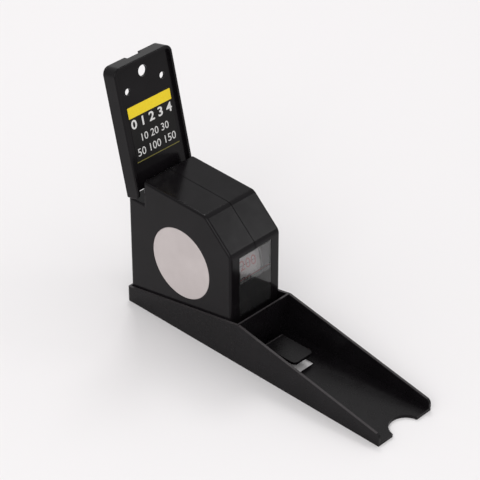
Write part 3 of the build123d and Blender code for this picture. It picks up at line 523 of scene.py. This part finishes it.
def tape_strip_piece(material):
    """Straight tape along the height of the strip part, which it takes the place of and hides."""
    low = STRIP_LOW.z
    high = STRIP_HIGH.z
    front = TAPE_Y - TAPE_THICKNESS / 2
    back = TAPE_Y + TAPE_THICKNESS / 2
    corners = [(-TAPE_HALF, front), (TAPE_HALF, front), (TAPE_HALF, back), (-TAPE_HALF, back)]
    made = bmesh.new()
    rows = []
    for index in range(STRIP_ROWS + 1):
        z = low + (high - low) * index / STRIP_ROWS
        rows.append([made.verts.new((x, y, z)) for x, y in corners])
    for lower, upper in zip(rows, rows[1:]):
        for index in range(4):
            after = (index + 1) % 4
            made.faces.new([lower[index], lower[after], upper[after], upper[index]])
    made.faces.new(list(reversed(rows[0])))
    made.faces.new(rows[-1])
    piece = make_piece("tape_between", made, material, None)
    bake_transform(piece)
    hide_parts("tape_strip")


def floor():
    """Plain pale floor."""
    made = bmesh.new()
    bmesh.ops.create_grid(made, x_segments=1, y_segments=1, size=FLOOR_HALF)
    mesh = bpy.data.meshes.new("floor")
    made.to_mesh(mesh)
    made.free()
    ground = bpy.data.objects.new("floor", mesh)
    ground.location.z = FOOT_LOW.z - FLOOR_GAP
    bpy.context.scene.collection.objects.link(ground)
    material, _, shader = node_setup("floor_paper")
    shader.inputs["Base Color"].default_value = (*FLOOR_COLOUR, 1.0)
    shader.inputs["Roughness"].default_value = 0.9
    shader.inputs["Specular IOR Level"].default_value = 0.1
    mesh.materials.append(material)


def light():
    """Plain soft studio light: an even surround and soft lamps aimed at the object."""
    world = bpy.data.worlds.new("surround")
    world.use_nodes = True
    background = world.node_tree.nodes["Background"]
    background.inputs["Color"].default_value = (1.0, 1.0, 1.0, 1.0)
    background.inputs["Strength"].default_value = SURROUND_STRENGTH
    bpy.context.scene.world = world
    for name, place, size, power in LAMPS:
        lamp = bpy.data.lights.new(name, "AREA")
        lamp.shape = "SQUARE"
        lamp.size = size
        lamp.energy = power
        holder = bpy.data.objects.new(name, lamp)
        holder.location = place
        direction = Vector(LAMP_TARGET) - Vector(place)
        holder.rotation_mode = "QUATERNION"
        holder.rotation_quaternion = direction.to_track_quat("-Z", "Y")
        bpy.context.scene.collection.objects.link(holder)


def camera():
    """Camera at the photograph's angle."""
    flat = math.cos(CAMERA_ELEVATION)
    back = Vector((
        math.sin(CAMERA_AZIMUTH) * flat,
        -math.cos(CAMERA_AZIMUTH) * flat,
        math.sin(CAMERA_ELEVATION),
    ))
    level = Vector((math.cos(CAMERA_AZIMUTH), math.sin(CAMERA_AZIMUTH), 0))
    upright = back.cross(level)
    right = math.cos(CAMERA_ROLL) * level + math.sin(CAMERA_ROLL) * upright
    up = math.cos(CAMERA_ROLL) * upright - math.sin(CAMERA_ROLL) * level
    place = CAMERA_ALONG_RIGHT * right + CAMERA_ALONG_UP * up + CAMERA_DISTANCE * back
    place.y += CAMERA_ALONG_Y
    data = bpy.data.cameras.new("camera")
    data.lens = CAMERA_LENS
    data.sensor_width = CAMERA_SENSOR
    data.clip_start = CAMERA_NEAR
    data.clip_end = CAMERA_FAR
    holder = bpy.data.objects.new("camera", data)
    turned = Matrix((right, up, back)).transposed().to_4x4()
    holder.matrix_world = Matrix.Translation(place) @ turned
    bpy.context.scene.collection.objects.link(holder)
    bpy.context.scene.camera = holder


def finishes():
    """Materials of the CAD nodes."""
    black = moulded_plastic("black_plastic", BLACK_DARK, BLACK_LIGHT, (0.13, 0.20), 0.05)
    tray = moulded_plastic("black_tray_plastic", BLACK_DARK, BLACK_LIGHT, (0.25, 0.31), 0.08)
    # Painted highlight: the upward tops of the foot's walls are made paler
    rub(tray, TOP_HIGHLIGHT_COLOUR, TOP_HIGHLIGHT_SLOPES, TOP_HIGHLIGHT_HEIGHTS)
    grey = moulded_plastic(
        "grey_plastic", (0.10, 0.10, 0.10), (0.13, 0.13, 0.128), (0.42, 0.55), 0.10
    )
    nylon = moulded_plastic(
        "nylon", (0.62, 0.61, 0.56), (0.70, 0.69, 0.64), (0.40, 0.52), 0.05, shine=0.4
    )
    steel = metal("zinc_steel", (0.62, 0.62, 0.61), (0.24, 0.40), (1.0, 8.0, 1.0))
    spring_steel = metal("spring_steel", (0.33, 0.34, 0.37), (0.22, 0.34), (6.0, 1.0, 1.0))
    brass = metal("brass", (0.62, 0.47, 0.24), (0.22, 0.36), (1.0, 8.0, 1.0))
    label_black = print_ink("label_black", (0.0060, 0.0055, 0.0055), (0.0085, 0.0080, 0.0080))

    dress(black, "case_left", "case_right", "wall_bracket", "exit_guide")
    dress(tray, "foot_tray")
    dress(grey, "drum_core", "spring_cover", "drum_flange_left", "drum_flange_right")
    dress(nylon, "axle_washers")
    dress(steel, "case_screws", "foot_screws", "axle", "axle_screw", "drum_screws")
    dress(steel, "tape_anchor_pin", "tape_hook", "hook_clamp", "hinge_pin")
    dress(spring_steel, "retraction_spring")
    dress(brass, "hook_rivets", "drum_bushes")
    dress(satin_disc(), "side_disc")
    dress(clear_plastic(), "window_lens")
    dress(rolled_tape(), "tape_roll")
    dress(label_black, "bracket_label")


def prints():
    """Red line on the pane, and figures on the tape and the label."""
    red_ink = print_ink("red_ink", (0.50, 0.17, 0.17), (0.56, 0.24, 0.23))
    black_ink = print_ink("black_ink", (0.16, 0.11, 0.11), (0.22, 0.16, 0.16))
    yellow_ink = print_ink("yellow_ink", (0.82, 0.61, 0.022), (0.88, 0.67, 0.028))
    olive_ink = print_ink("olive_ink", (0.16, 0.14, 0.03), (0.20, 0.18, 0.05))
    white_ink = print_ink("white_ink", (0.66, 0.65, 0.64), (0.76, 0.75, 0.74))
    dress(red_ink, "reading_line")
    tape_figures(black_ink, red_ink)
    label_print(yellow_ink, olive_ink, white_ink)


def main():
    """Set the view, the light and the floor, then dress the model."""
    bpy.context.scene.view_settings.view_transform = "Standard"
    camera()
    light()
    floor()
    finishes()
    prints()
    tape_strip_piece(straight_tape())


main()
